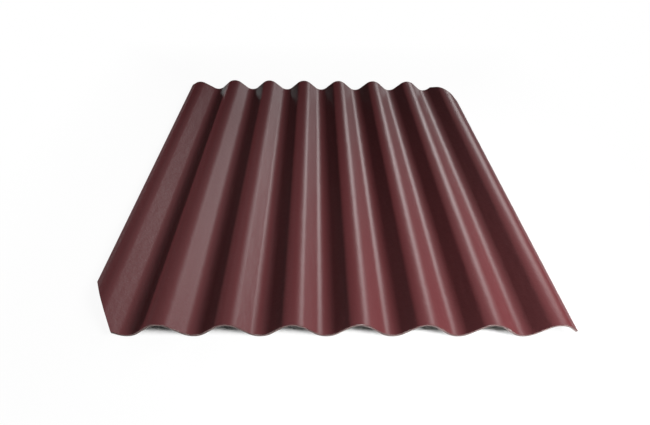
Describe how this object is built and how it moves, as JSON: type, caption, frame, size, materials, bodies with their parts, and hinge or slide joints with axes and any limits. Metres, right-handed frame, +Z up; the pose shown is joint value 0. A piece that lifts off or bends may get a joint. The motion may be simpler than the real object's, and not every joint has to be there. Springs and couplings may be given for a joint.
{
  "type": "corrugated fiber cement roof sheet",
  "caption": "Painted corrugated fiber cement roof sheet that laps its neighbours at the side and end, with two opposite corners mitred.",
  "frame": {"origin": "under the middle of the sheet, on the plane that its valleys rest on", "axes": "+Y runs along the waves, from the end that is mitred at the lower edge wave to the other end. +X runs across the waves, from the lower edge wave that a neighbour laps over to the edge wave that laps over a neighbour. +Z is up, through the painted face."},
  "size_m": [1.13, 1.25, 0.0458],
  "materials": {
    "painted_fiber_cement": "gloss"
  },
  "bodies": {
    "root": {"roof_sheet": "painted_fiber_cement"}
  },
  "joints": []
}
